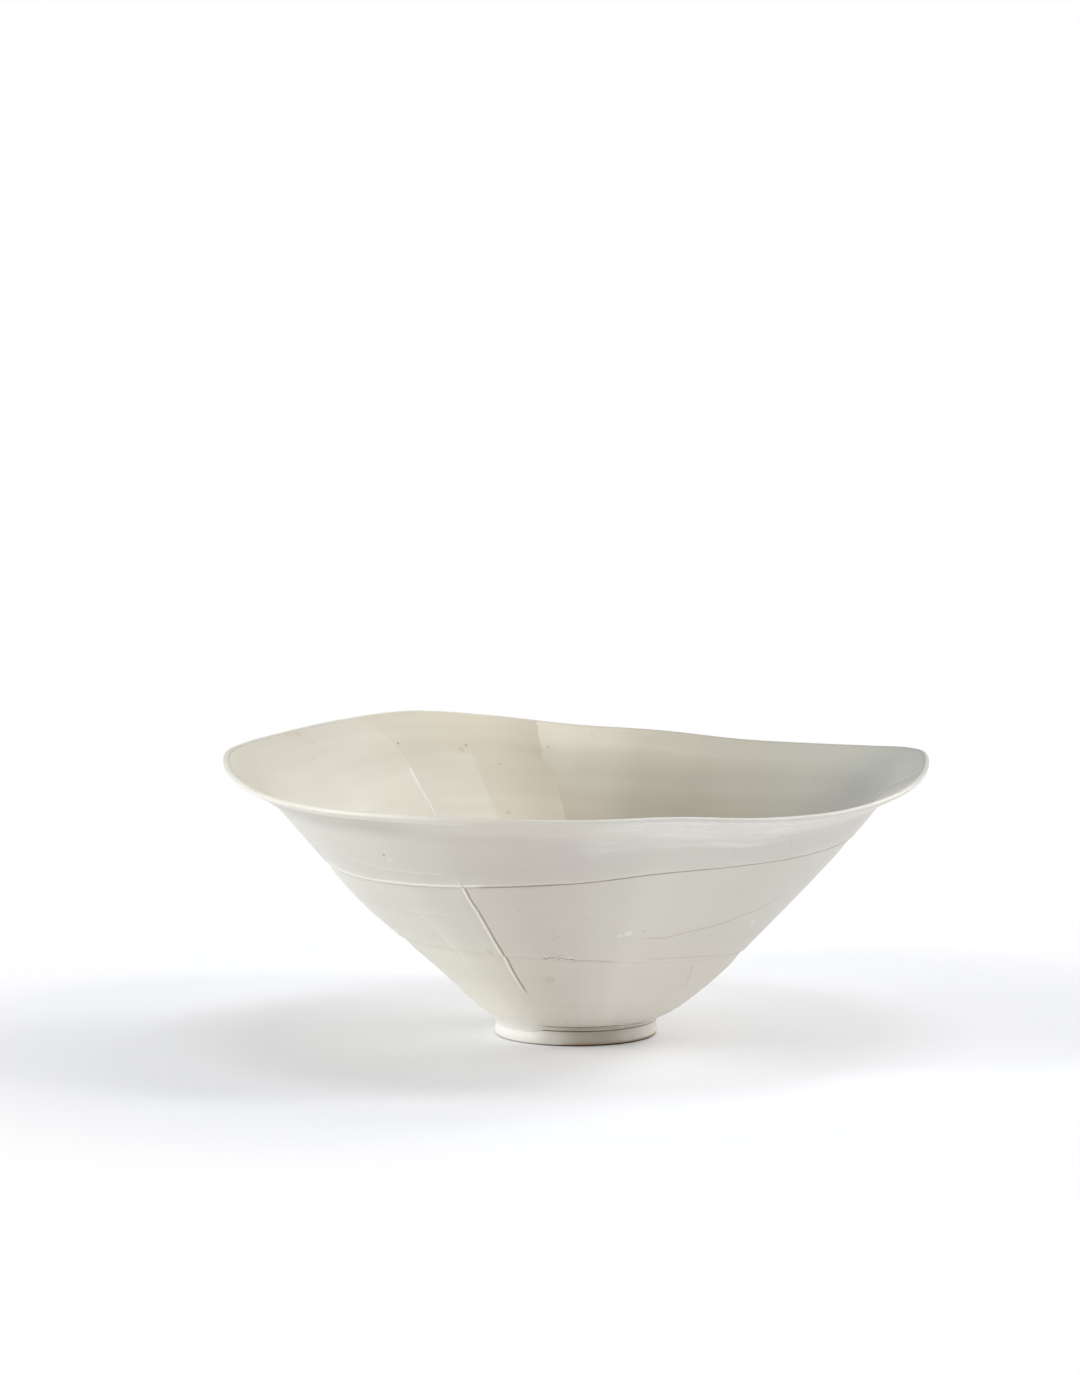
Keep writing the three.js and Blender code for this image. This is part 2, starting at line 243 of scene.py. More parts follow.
# Each line is its places and its course at them. The long knife line and the fainter one to its
# left run up the wall, with azimuths at heights in millimetres.
SCORE = (
    (24.0, 26.0, 29.3, 34.0, 41.0, 46.7, 51.0, 58.0, 66.0, 73.5, 92.0, 106.3, 114.9, 121.5),
    (250.3, 249.6, 248.6, 248.0, 247.7, 247.5, 247.3, 247.0)
    + (246.7, 246.5, 246.15, 245.5, 245.3, 244.9),
)
SCORE_MIDDLE = 246.5
FAINT = (
    (23.0, 26.0, 29.9, 37.6, 45.8, 53.6, 62.5, 72.0, 81.6, 91.1),
    (225.0, 227.0, 228.0, 229.4, 230.2, 230.0, 229.6, 228.6, 227.2, 225.7),
)
# The others run round it, with heights at azimuths: the curved scratch on the right, a fine line
# above the upper seam, one low down by the foot, a short hook on the right, the torn stretch of the
# lower seam, and a soft ridge left by a finger, on the left.
SCRATCH = (
    (286.0, 289.8, 295.2, 300.0, 305.3, 310.6, 315.6, 321.2, 326.5, 330.0),
    (69.0, 69.6, 69.9, 72.8, 74.6, 76.7, 79.7, 82.4, 86.8, 95.0),
)
FINE_LINE = (212.8, 218.9, 224.6, 231.8, 244.9), (128.2, 126.4, 124.0, 122.4, 121.9)
FOOT_LINE = (246.0, 259.5, 271.7, 284.0), (15.0, 15.4, 16.0, 17.0)
HOOK = (311.0, 312.5, 314.9, 318.5, 327.0), (53.0, 50.7, 40.5, 29.5, 24.0)
SCAR = (
    (259.4, 260.6, 261.5, 262.6, 263.5, 264.4, 265.6, 266.6, 268.0, 269.5),
    (54.6, 53.5, 54.9, 54.3, 55.6, 54.0, 55.3, 54.0, 54.3, 53.2),
)
RIDGE = (
    (200.0, 207.6, 213.8, 217.9, 224.6, 230.9, 237.1, 244.8),
    (114.0, 106.8, 97.1, 86.2, 83.9, 84.7, 84.9, 82.7),
)
# How they stand out: the way the line runs, the line, the four places between which it fades in and
# out, and its humps. A hump is how far it stands out, how far it lies beside the line and how wide
# it is, in millimetres.
SCORE_HUMPS = (-0.40, 0.15, 0.40), (0.36, -0.70, 0.46), (0.10, 0.8, 0.35)
MARKS = (
    ("up", SCORE, (24.5, 31.0, 113.0, 121.0), SCORE_HUMPS),
    ("up", FAINT, (22.0, 27.0, 84.0, 93.0), ((0.12, 0.0, 0.8),)),
    ("round", RIDGE, (202.0, 210.0, 238.0, 247.0), ((0.17, 0.0, 1.6),)),
    ("round", SCRATCH, (286.0, 291.0, 324.0, 331.0), ((-0.09, 0.0, 0.8),)),
    ("round", FINE_LINE, (212.0, 222.0, 240.0, 247.0), ((0.06, 0.0, 0.8),)),
    ("round", FOOT_LINE, (246.0, 250.0, 272.0, 284.0), ((-0.10, 0.0, 0.6),)),
    ("round", HOOK, (311.0, 313.5, 322.0, 327.0), ((-0.12, 0.0, 1.6),)),
    ("round", SCAR, (259.0, 260.5, 267.5, 269.5), ((0.40, 0.0, 0.6), (-0.40, -1.1, 0.5))),
)


def score_azimuth(up):
    return np.interp(up / MM, *SCORE)


def crowded(azimuth, up):
    """Evenly spaced azimuths, drawn together round the knife line and made to follow it."""
    fine = np.linspace(0.0, 360.0, 3601)
    crowd = 1 + 4.5 * hump(fine, SCORE_MIDDLE, 2.2) + 0.5 * hump(fine, 262.0, 55.0)
    even = np.concatenate(([0.0], np.cumsum((crowd[1:] + crowd[:-1]) / 2)))
    azimuth = np.interp(azimuth, even / even[-1] * 360.0, fine)
    near = np.clip(1 - ((azimuth - SCORE_MIDDLE) / 12.0) ** 2, 0.0, 1.0) ** 2
    return azimuth + (score_azimuth(up) - SCORE_MIDDLE) * near


def beside_score(azimuth, up, radius, ends, middle, width):
    """A stripe that runs beside the knife line, as a mask."""
    across = np.radians(azimuth - score_azimuth(up)) * radius / MM
    return between(up / MM, *ends) * hump(across, middle, width)


def outside_relief(wall, azimuth, up):
    """How far the outer face stands out from its true curve: hand marks, laps and lines."""
    mm_up = up / MM
    radius, _ = wall.at(up, 0.0)
    turn = np.radians(azimuth)
    slow = 0.10 * np.sin(3 * turn + mm_up / 25) + 0.06 * np.sin(5 * turn - mm_up / 19 + 1.3)
    rings = 0.016 * np.sin(mm_up / 1.9 + 1.5 * np.sin(turn) + 0.8 * np.sin(3 * turn))
    rings = rings + 0.010 * np.sin(mm_up / 1.15 + 2.2 * np.sin(2 * turn + 0.4))
    relief = (slow + rings) * between(mm_up, 0.0, 10.0, 145.0, 158.0)
    for way, line, ends, humps in MARKS:
        if way == "up":
            along = mm_up
            beside = np.radians(azimuth - np.interp(mm_up, *line)) * radius / MM
        else:
            along = azimuth
            beside = mm_up - np.interp(azimuth, *line)
        for height, middle, width in humps:
            relief = relief + height * between(along, *ends) * hump(beside, middle, width)
    ends = between(azimuth, 198.0, 212.0, 244.0, 262.0)
    relief = relief + 0.42 * ends * hump(mm_up, wall.band_seam / MM + 1.0, 0.85)
    return (relief - 1.1 * pressed_in(azimuth) * (1 - smooth(mm_up, 2.0, 9.0))) * MM


def pressed_in(azimuth):
    """Where the coil was smoothed flat into the joint, on the left and round the back of it."""
    return between(azimuth, 95.0, 130.0, 228.0, 252.0)


def inside_relief(azimuth, up):
    mm_up = up / MM
    turn = np.radians(azimuth)
    waves = 0.10 * np.sin(3 * turn - mm_up / 19) + 0.05 * np.sin(mm_up / 2.1 + 2 * np.sin(turn))
    return waves * between(mm_up, 20.0, 40.0, 145.0, 157.0) * MM


# making meshes

OUTER, INNER, HIDDEN = 1.0, 2.0, 0.0
ABOUT_AXIS = {"cent": (0.0, 0.0, 0.0), "axis": (0.0, 0.0, 1.0), "dvec": (0.0, 0.0, 0.0)}
# Columns spun at a time, before the slice is copied round.
SLICE = 20
# How far the knife line's brown stain and painted highlight run up the wall, and where they lie
# beside it.
STAIN = ((24.5, 31.0, 108.0, 118.0), 0.20, 0.33)
GLEAM = ((25.0, 33.0, 112.0, 121.0), -0.80, 0.72)


def evenly(start, end, step):
    return np.linspace(start, end, max(2, int(round(abs(end - start) / step)) + 1))


def placed(name, data):
    thing = bpy.data.objects.new(name, data)
    bpy.context.scene.collection.objects.link(thing)
    return thing


def finished(name, mesh, node, material):
    """Makes a smooth-shaded object of a mesh, which stands for its CAD node."""
    mesh.polygons.foreach_set("use_smooth", np.ones(len(mesh.polygons), bool))
    mesh.materials.append(material)
    mesh.update()
    piece = placed(name, mesh)
    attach(piece, "root")
    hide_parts(node)
    return piece


def spun(outline, columns):
    """Spins rows of (radius, height, up, side) once round an upright axis: first a slice, then
    copies of that slice."""
    bm = bmesh.new()
    up_layer = bm.verts.layers.float.new("up")
    side_layer = bm.verts.layers.float.new("side")
    verts = []
    for radius, height, up, side in outline:
        vert = bm.verts.new((radius, 0.0, height))
        vert[up_layer] = up
        vert[side_layer] = side
        verts.append(vert)
    closes = outline[0][0] > 1e-6
    following = verts[1:] + verts[:1] if closes else verts[1:]
    edges = [bm.edges.new(pair) for pair in zip(verts, following)]
    slices = columns // SLICE
    one = 2 * math.pi / slices
    bmesh.ops.spin(bm, geom=verts + edges, angle=one, steps=SLICE, **ABOUT_AXIS)
    first = bm.verts[:] + bm.edges[:] + bm.faces[:]
    rest = {"angle": 2 * math.pi - one, "steps": slices - 1, "use_duplicate": True}
    bmesh.ops.spin(bm, geom=first, **rest, **ABOUT_AXIS)
    bmesh.ops.remove_doubles(bm, verts=bm.verts, dist=1e-6)
    bmesh.ops.recalc_face_normals(bm, faces=bm.faces)
    return bm


def baked(bm, name):
    """The bmesh as a mesh, and its points as an array."""
    mesh = bpy.data.meshes.new(name)
    bm.to_mesh(mesh)
    bm.free()
    points = np.empty(len(mesh.vertices) * 3)
    mesh.vertices.foreach_get("co", points)
    return mesh, points.reshape(-1, 3)


def stored(mesh, name):
    values = np.empty(len(mesh.vertices))
    mesh.attributes[name].data.foreach_get("value", values)
    return values


def store(mesh, name, values):
    layer = mesh.attributes.new(name, "FLOAT", "POINT")
    layer.data.foreach_set("value", values.astype(np.float32))


def store_wall_uv(mesh, azimuth, up):
    """Stores azimuth as a share of a turn, and metres up the wall, for the materials to read."""
    corners = np.empty(len(mesh.loops), int)
    mesh.loops.foreach_get("vertex_index", corners)
    starts = np.empty(len(mesh.polygons), int)
    mesh.polygons.foreach_get("loop_start", starts)
    turns = azimuth[corners] / 360.0
    spread = np.maximum.reduceat(turns, starts) - np.minimum.reduceat(turns, starts)
    wraps = np.repeat(spread > 0.5, np.diff(np.append(starts, len(corners))))
    turns = np.where(wraps & (turns < 0.5), turns + 1.0, turns)
    layer = mesh.uv_layers.new(name="wall")
    layer.data.foreach_set("uv", np.stack((turns, up[corners]), -1).ravel())


def wall_ring(wall, name, outline):
    """A ring of wall: the outline is spun, then given its marks and the bowl's warp."""
    mesh, points = baked(spun(outline, wall.sizes.columns), name)
    up, side = stored(mesh, "up"), stored(mesh, "side")
    turn, radius, height = polar(points)
    azimuth = crowded(np.degrees(turn) % 360.0, up)
    out, rise = wall.direction(up)
    relief = np.where(side == OUTER, outside_relief(wall, azimuth, up), 0.0)
    relief = relief - np.where(side == INNER, inside_relief(azimuth, up), 0.0)
    radius = np.maximum(radius + relief * rise, 0.0)
    height = height - relief * out
    mesh.vertices.foreach_set("co", wall.warped(azimuth, radius, height).ravel())
    store_wall_uv(mesh, azimuth, up)
    for mask, stripe in (("stain", STAIN), ("gleam", GLEAM)):
        store(mesh, mask, np.where(side == OUTER, beside_score(azimuth, up, radius, *stripe), 0.0))
    store(mesh, "inside", np.where(side == INNER, 1.0, 0.0))
    return mesh


def rows(wall, ups, depth_at, side):
    return [(*wall.at(up, depth_at(up)), up, side) for up in ups]


def face_under_lap(wall, start, seam):
    """The outer face of a section, sinking to pass under the lap of the one above it."""
    step = wall.sizes.lap_step
    ups = np.concatenate((evenly(start, seam, 0.95 * MM), evenly(seam, seam + 4 * MM, 2 * MM)[1:]))
    return rows(wall, ups, lambda up: step * smooth(up, seam - wall.LAP_FADE, seam), OUTER)


def lap_edge(wall, seam):
    """The rounded lower edge of a section that laps over the one below, from inside to outside."""
    step = wall.sizes.lap_step
    top = seam + wall.SCARF
    tucked = step + 0.35 * MM
    points = [(top, wall.thickness(top) - 0.3 * MM), (top, tucked), (seam + 1.5 * MM, tucked)]
    for turn in np.linspace(0.0, math.pi / 2, 5):
        points.append((seam + 0.45 * MM * (1 - math.sin(turn)), tucked * math.cos(turn)))
    return [(*wall.at(up, depth), up, HIDDEN) for up, depth in points]


# materials


class Value:
    """A socket that can be used in sums."""

    def __init__(self, paint, socket):
        self.paint = paint
        self.socket = socket

    def _sum(self, operation, a, b):
        return self.paint.add("ShaderNodeMath", {"operation": operation}, {0: a, 1: b})

    def __add__(self, other):
        return self._sum("ADD", self, other)

    def __radd__(self, other):
        return self._sum("ADD", other, self)

    def __sub__(self, other):
        return self._sum("SUBTRACT", self, other)

    def __rsub__(self, other):
        return self._sum("SUBTRACT", other, self)

    def __mul__(self, other):
        return self._sum("MULTIPLY", self, other)

    def __rmul__(self, other):
        return self._sum("MULTIPLY", other, self)

    def __truediv__(self, other):
        return self._sum("DIVIDE", self, other)

    def output(self, name):
        """Another output of the same node."""
        return Value(self.paint, self.socket.node.outputs[name])

    def power(self, other):
        return self._sum("POWER", self, other)

    def size(self):
        return self._sum("ABSOLUTE", self, 0.0)

    def most(self, other):
        return self._sum("MAXIMUM", self, other)

    def cut_at(self, place, width):
        """Azimuths past a place, as negative ones."""
        return self - self.ramp(place - width, place + width) * 360.0

    def ramp(self, low, high):
        """0 below low, 1 above high and smooth between; low may be the larger."""
        settings = {"interpolation_type": "SMOOTHSTEP", "clamp": True}
        sockets = {"Value": self, "From Min": low, "From Max": high, "To Min": 0.0, "To Max": 1.0}
        return self.paint.add("ShaderNodeMapRange", settings, sockets)


class Paint:
    """The nodes of one material, or of the world."""

    def __init__(self, owner):
        self.owner = owner
        owner.use_nodes = True
        self.tree = owner.node_tree
        self.tree.nodes.clear()

    def add(self, kind, settings=None, sockets=None, output=0):
        node = self.tree.nodes.new(kind)
        for key, value in (settings or {}).items():
            if key == "stops":
                self.set_stops(node.color_ramp, value)
            elif key == "curve":
                self.set_curve(node.mapping, value)
            else:
                setattr(node, key, value)
        for key, value in (sockets or {}).items():
            if isinstance(value, Value):
                self.tree.links.new(value.socket, node.inputs[key])
            else:
                node.inputs[key].default_value = value
        return Value(self, node.outputs[output]) if node.outputs else node

    def set_stops(self, ramp, stops):
        ramp.interpolation = "EASE"
        while len(ramp.elements) < len(stops):
            ramp.elements.new(1.0)
        for element, (position, colour) in zip(ramp.elements, stops):
            element.position = position
            element.color = rgba(colour)

    def set_curve(self, mapping, points):
        curve = mapping.curves[0]
        while len(curve.points) < len(points):
            curve.points.new(0.5, 0.5)
        for point, place in zip(curve.points, points):
            point.location = place
        mapping.update()

    def here(self):
        return self.add("ShaderNodeTexCoord", output=3)

    def wall_uv(self):
        return self.add("ShaderNodeUVMap", {"uv_map": "wall"})

    def wall_place(self):
        """Degrees round the wall and millimetres up it."""
        turns, up, _ = self.parts(self.wall_uv())
        return turns * 360.0, up * 1000.0

    def parts(self, vector):
        separate = self.add("ShaderNodeSeparateXYZ", None, {0: vector})
        return [separate.output(name) for name in "XYZ"]

    def seen(self):
        return self.add("ShaderNodeLightPath").output("Is Camera Ray")

    def streaks(self, per_turn, per_metre, roughness=0.5):
        """Noise drawn out along the wall."""
        sockets = {"Vector": self.wall_uv(), "Scale": (per_turn, per_metre, 1.0)}
        vector = self.add("ShaderNodeMapping", None, sockets)
        return self.noise(vector, 1.0, 2.0, roughness)

    def noise(self, vector, scale, detail=3.0, roughness=0.5):
        sockets = {"Vector": vector, "Scale": scale, "Detail": detail, "Roughness": roughness}
        return self.add("ShaderNodeTexNoise", None, sockets)

    def blend(self, amount, first, second, blend_type="MIX"):
        settings = {"data_type": "RGBA", "blend_type": blend_type}
        return self.add("ShaderNodeMix", settings, {0: amount, 6: first, 7: second}, output=2)

    def times(self, amount, first, second):
        return self.blend(amount, first, second, "MULTIPLY")

    def mixed(self, amount, first, second):
        return self.add("ShaderNodeMixShader", None, {0: amount, 1: first, 2: second})

    def spot(self, here, point, radius, ragged=0.0):
        sockets = {0: here, 1: tuple(point)}
        away = self.add("ShaderNodeVectorMath", {"operation": "DISTANCE"}, sockets, output=1)
        return (away + ragged * radius).ramp(radius, radius * 0.45)

    def stored(self, name):
        return self.add("ShaderNodeAttribute", {"attribute_name": name}, output=2)

    def followed(self, along, places, values):
        """A smooth curve through values at places along a coordinate."""
        low, high, bottom, top = places[0], places[-1], min(values), max(values)
        rises = [(v - bottom) / (top - bottom) for v in values]
        points = [((p - low) / (high - low), rise) for p, rise in zip(places, rises)]
        sockets = {"Value": (along - low) / (high - low)}
        share = self.add("ShaderNodeFloatCurve", {"curve": points}, sockets)
        return share * (top - bottom) + bottom

    def tones(self, along, colour, stops):
        """A colour that changes along a coordinate, as shares of one colour at the stops."""
        low, high = stops[0][0], stops[-1][0]
        ramp = []
        for place, *shares in stops:
            ramp.append(((place - low) / (high - low), np.multiply(tuple(colour), shares)))
        return self.add("ShaderNodeValToRGB", {"stops": ramp}, {0: (along - low) / (high - low)})

    def bumped(self, height, distance, strength=1.0):
        sockets = {"Height": height, "Distance": distance, "Strength": strength}
        return self.add("ShaderNodeBump", None, sockets)

    def clay(self, colour, roughness, normal, gloss=()):
        sockets = {"Base Color": colour, "Roughness": roughness, "Normal": normal, **dict(gloss)}
        return self.ends_in(self.add("ShaderNodeBsdfPrincipled", None, sockets))

    def ends_in(self, surface, output="ShaderNodeOutputMaterial"):
        self.add(output, None, {"Surface": surface})
        return self.owner


def new_paint(name):
    return Paint(bpy.data.materials.new(name))


def rgba(colour):
    return (*tuple(colour), 1.0)


def sprinkled(paint, here, scale, density, size):
    """A sparse sprinkle of fine specks, as a mask."""
    cells = paint.add("ShaderNodeTexVoronoi", {"feature": "F1"}, {"Vector": here, "Scale": scale})
    shade = paint.parts(cells.output("Color"))[0]
    return cells.ramp(size, size * 0.4) * shade.ramp(1 - density, 1 - density + 0.01)


# The glaze's colour round the outside and up it, with painted light and shade by side and
# height, as shares of the glaze's own: a place, and a share of red, green and blue or one of all
# three.
OUTSIDE_TONES = (
    (0.0, 0.84, 0.84, 0.85),
    (70.0, 0.97, 0.98, 0.98),
    (150.0, 0.98, 1.00, 1.00),
    (205.0, 1.02, 1.05, 1.04),
    (228.0, 1.02, 1.04, 1.02),
    (240.0, 0.94, 0.95, 0.93),
    (250.0, 0.88, 0.87, 0.86),
    (260.0, 0.86, 0.84, 0.83),
    (268.0, 0.88, 0.87, 0.87),
    (277.0, 0.94),
    (286.0, 1.01),
    (296.0, 0.97),
    (312.0, 0.92),
    (345.0, 0.84, 0.84, 0.85),
    (360.0, 0.84, 0.84, 0.85),
)
UPWARD_TONES = (
    (10.0, 1.18, 1.17, 1.16),
    (45.0, 1.10, 1.09, 1.08),
    (70.0, 1.04),
    (108.0, 1.00),
    (125.0, 0.95, 0.95, 0.96),
    (140.0, 0.97, 0.97, 0.98),
    (152.0, 1.07, 1.07, 1.06),
)
# Lines drawn on the glaze: the way each runs, the line, where it starts and ends, its width in
# millimetres and its strength.
PALE_LINES = (
    ("round", FINE_LINE, (212.0, 244.0), 0.6, 0.35),
    # Painted highlight along the upper lap's rounded edge, strong on the left and faint on the
    # right.
    ("round", ((180.0, 225.0, 270.0), (114.2, 114.4, 114.1)), (196.0, 252.0), 1.0, 0.95),
    ("round", ((240.0, 300.0, 350.0), (114.1, 114.2, 114.0)), (246.0, 330.0), 0.6, 0.35),
    ("round", ((180.0, 225.0, 270.0), (51.3, 51.4, 51.2)), (196.0, 256.0), 0.7, 0.35),
    # Painted highlight along the lip on the front left.
    ("round", ((180.0, 230.0, 280.0), (159.3, 159.4, 159.3)), (205.0, 254.0), 2.2, 0.50),
    ("round", SCAR, (258.0, 271.0), 0.8, 0.95),
    ("round", FOOT_LINE, (247.0, 276.0), 0.6, 0.30),
    ("round", ((212.0, 218.2, 235.7, 240.0), (29.5, 26.4, 16.4, 14.0)), (216.0, 237.0), 0.6, 0.35),
    ("up", FAINT, (22.0, 90.0), 0.75, 1.0),
)
# The shade below the torn stretch, the one along its top, and the short hook.
SCAR_SHADE = SCAR[0], tuple(up - 1.1 for up in SCAR[1])
SCAR_CREST = SCAR[0], tuple(up + 0.9 for up in SCAR[1])
HOOK_STROKE = (24.0, 29.5, 40.5, 50.7, 53.0), (324.0, 318.5, 314.9, 312.5, 313.4)
DARK_LINES = (
    ("round", SCRATCH, (287.0, 328.0), 0.7, 0.30),
    # Painted shadow under the upper lap's edge, light on the left and strong on the right.
    ("round", ((180.0, 225.0, 270.0), (112.7, 112.9, 112.6)), (196.0, 262.0), 0.8, 0.40),
    ("round", ((240.0, 300.0, 350.0), (113.0, 113.1, 112.9)), (246.0, 346.0), 0.9, 0.95),
    ("round", SCAR_SHADE, (257.0, 272.0), 0.6, 0.85),
    ("round", SCAR_CREST, (260.0, 268.0), 0.4, 0.45),
    ("round", ((266.0, 274.0, 284.0), (52.1, 52.5, 52.3)), (267.5, 283.5), 0.6, 0.35),
    ("round", ((290.0, 304.0, 317.0, 343.0), (53.6, 54.6, 54.2, 50.6)), (291.0, 340.0), 0.6, 0.22),
    ("up", HOOK_STROKE, (28.0, 52.5), 0.6, 0.25),
    ("up", ((120.0, 132.0, 148.0), (313.6, 311.4, 309.3)), (122.0, 147.0), 0.5, 0.18),
)
# How much such a line's edge wanders, and over how many degrees or millimetres its ends fade.
LINE_WANDER, ROUND_FADE, UP_FADE = 0.25, 4.0, 5.0
# Spots outside: azimuth, up and radius in millimetres, strength, and kind.
OUTSIDE_SPOTS = (
    (230.5, 131.0, 0.8, 0.75, "iron"),
    (263.9, 73.3, 0.5, 0.5, "iron"),
    (263.5, 68.2, 0.45, 0.45, "iron"),
    (272.1, 86.8, 0.5, 0.5, "iron"),
    (262.6, 32.0, 0.5, 0.35, "iron"),
    (283.4, 73.7, 2.6, 0.75, "pale"),
    (281.2, 72.2, 1.5, 0.6, "pale"),
    (324.6, 74.7, 1.8, 0.7, "pale"),
    (260.3, 37.1, 3.4, 0.16, "dark"),
    (243.0, 54.0, 2.4, 0.16, "dark"),
    (349.3, 49.1, 3.0, 0.25, "dark"),
    (231.2, 128.8, 1.3, 0.5, "pale"),
)
WHITE = (1.0, 1.0, 1.0, 1.0)
PALE, DARK = (0.95, 0.94, 0.90, 1.0), (0.36, 0.30, 0.24, 1.0)


def drawn_lines(paint, azimuth, up, ragged, lines):
    """The mask of some lines on the outside."""
    mm_in_degree = up * 0.0127 + 0.70
    masks = []
    for way, line, (start, end), width, strength in lines:
        if way == "round":
            along, fade = azimuth, ROUND_FADE
            off = (up - paint.followed(azimuth, *line)).size()
        else:
            along, fade = up, UP_FADE
            off = (azimuth - paint.followed(up, *line)).size() * mm_in_degree
        drawn = (off + ragged * LINE_WANDER).ramp(width, width * 0.3)
        drawn = drawn * along.ramp(start, start + fade) * along.ramp(end, end - fade)
        masks.append(drawn * strength)
    return reduce(Value.most, masks)


def outside_glaze(wall, finish):
    paint = new_paint("porcelain_glaze")
    here = paint.here()
    azimuth, up = paint.wall_place()
    azimuth = azimuth.cut_at(360.0, 0.001)

    cloud = paint.noise(here, 16.0, 4.0, 0.55).ramp(0.35, 0.68)
    streak = paint.streaks(14.0, 130.0, 0.45).ramp(0.30, 0.74)
    # Painted sheen: lighter glossy streaks under the lip on the front right; the same streaks also
    # lift the relief and lower the roughness.
    edge = up - 134.0 + (paint.streaks(34.0, 60.0) - 0.5) * 16.0
    sheen_zone = azimuth.ramp(266.0, 281.0) * azimuth.ramp(320.0, 304.0) * edge.ramp(-2.2, 1.6)
    pool_and_sheen = paint.streaks(30.0, 190.0).ramp(0.48, 0.58) * sheen_zone
    # Glaze colour round the wall, with painted light on the front left and painted shade at the
    # front middle and round the back.
    colour = paint.tones(azimuth, finish.glaze, OUTSIDE_TONES)
    colour = paint.blend(cloud * 0.20, colour, rgba(finish.thin))
    colour = paint.blend(streak * 0.09, colour, rgba(finish.pooled))
    # Painted light and shade up the wall: lighter low down and near the lip, darker below the lip
    # band.
    colour = paint.times(1.0, colour, paint.tones(up, WHITE[:3], UPWARD_TONES))
    # The painted sheen itself, blended towards a pale colour.
    colour = paint.blend(sheen_zone * 0.24 + pool_and_sheen * 0.34, colour, (0.90, 0.90, 0.88, 1.0))

    # Painted shadow under the flared lip on the front left.
    lip_shadow = azimuth.ramp(250.0, 232.0) * up.ramp(140.0, 150.0) * up.ramp(159.5, 155.5)
    colour = paint.times(lip_shadow, colour, (0.81, 0.80, 0.80, 1.0))

    ragged = paint.noise(here, 700.0, 3.0, 0.6) - 0.5
    wander = paint.noise(here, 45.0, 2.0, 0.5) - 0.5
    masks = {
        "dark": drawn_lines(paint, azimuth, up + wander * 1.2, ragged, DARK_LINES),
        "pale": drawn_lines(paint, azimuth, up + wander * 1.2, ragged, PALE_LINES),
        "iron": sprinkled(paint, here, 240.0, 0.02, 0.16) * 0.4,
    }
    for azimuth_at, up_at, radius, strength, kind in OUTSIDE_SPOTS:
        spot = paint.spot(here, wall.place(azimuth_at, up_at), radius * MM, ragged * 1.2) * strength
        masks[kind] = masks[kind].most(spot)
    dark, pale = masks["dark"], masks["pale"]
    colour = paint.blend(dark, colour, DARK)
    colour = paint.blend(masks["iron"], colour, rgba(finish.iron))
    colour = paint.blend(pale, colour, PALE)
    # A painted highlight on the knife line's left flank.
    colour = paint.blend(paint.stored("gleam"), colour, (1.0, 0.985, 0.94, 1.0))
    colour = paint.blend(paint.stored("stain"), colour, (0.40, 0.28, 0.15, 1.0))

    # The inside face takes the same tones, with their painted shade.
    inner = paint.tones(azimuth.cut_at(270.0, 0.1), finish.inside, INSIDE_TONES)
    floor = rgba([c * 0.86 for c in finish.inside])
    inner = paint.blend(up.ramp(38.0, 15.0), inner, floor)
    colour = paint.blend(paint.stored("inside"), colour, inner)

    brushed = paint.streaks(30.0, 500.0)
    outer = 1.0 - paint.stored("inside")
    relief = (brushed * 0.25 + pool_and_sheen * 0.8 + pale * 1.5 - dark * 1.5) * outer
    roughness = 0.50 + cloud * 0.05 - (pool_and_sheen * 0.10 + 0.18) * outer
    gloss = {"Specular IOR Level": 0.42, "Coat Weight": 0.15, "Coat Roughness": 0.15}
    return paint.clay(colour, roughness, paint.bumped(relief, 0.06 * MM), gloss)


def wall_glaze(wall, finish):
    return bpy.data.materials.get("porcelain_glaze") or outside_glaze(wall, finish)


# Iron specks inside: azimuth, up and radius in millimetres.
INSIDE_SPECKS = (
    (147.0, 149.5, 0.55),
    (127.5, 140.2, 0.8),
    (112.3, 138.2, 1.0),
    (95.1, 141.4, 0.75),
    (33.4, 133.4, 0.6),
    (25.7, 136.3, 0.5),
    (146.8, 144.0, 0.45),
    (150.3, 145.4, 0.4),
    (151.4, 141.6, 0.4),
    (149.6, 142.8, 0.35),
)
# Tan patches inside, where the glaze crawled.
INSIDE_TAN = (
    (113.6, 136.1, 2.0),
    (149.4, 160.3, 3.4),
    (147.2, 158.2, 3.0),
    (106.1, 105.8, 1.8),
)
# The glaze's colour round the inside, with painted shade on the right, where the inside faces
# away from the key lamps, as shares of its own.
INSIDE_TONES = (
    (-90.0, 0.89, 0.905, 0.915),
    (-28.0, 0.78, 0.82, 0.86),
    (-8.0, 0.56, 0.60, 0.64),
    (12.0, 0.55, 0.585, 0.62),
    (40.0, 0.635, 0.655, 0.65),
    (62.0, 0.65, 0.645, 0.625),
    (74.0, 0.70, 0.69, 0.665),
    (86.0, 0.84, 0.825, 0.80),
    (94.0, 0.91, 0.90, 0.885),
    (108.0, 1.05, 1.05, 1.04),
    (126.0, 1.02),
    (150.0, 0.94, 0.95, 0.96),
    (211.0, 0.94, 0.95, 0.96),
    (270.0, 0.89, 0.905, 0.915),
)
# The same up the inside, in millimetres, again partly painted light and shade.
INSIDE_UPWARD = {
    "sheet_left": ((105.0, 1.09), (126.0, 1.06), (141.0, 0.97, 0.965, 0.95)),
    "sheet_middle": ((108.0, 1.07, 1.07, 1.08), (129.0, 1.00), (141.0, 0.95, 0.94, 0.92)),
    "sheet_right": ((108.0, 0.91, 0.90, 0.88), (128.0, 0.97), (149.0, 1.11, 1.12, 1.12)),
}


def spots_inside(paint, here, wall, table, ragged):
    masks = []
    for azimuth_at, up_at, radius in table:
        point = wall.place(azimuth_at, up_at, wall.thickness(up_at * MM) / MM + 0.6)
        masks.append(paint.spot(here, point, radius * MM, ragged))
    return reduce(Value.most, masks)


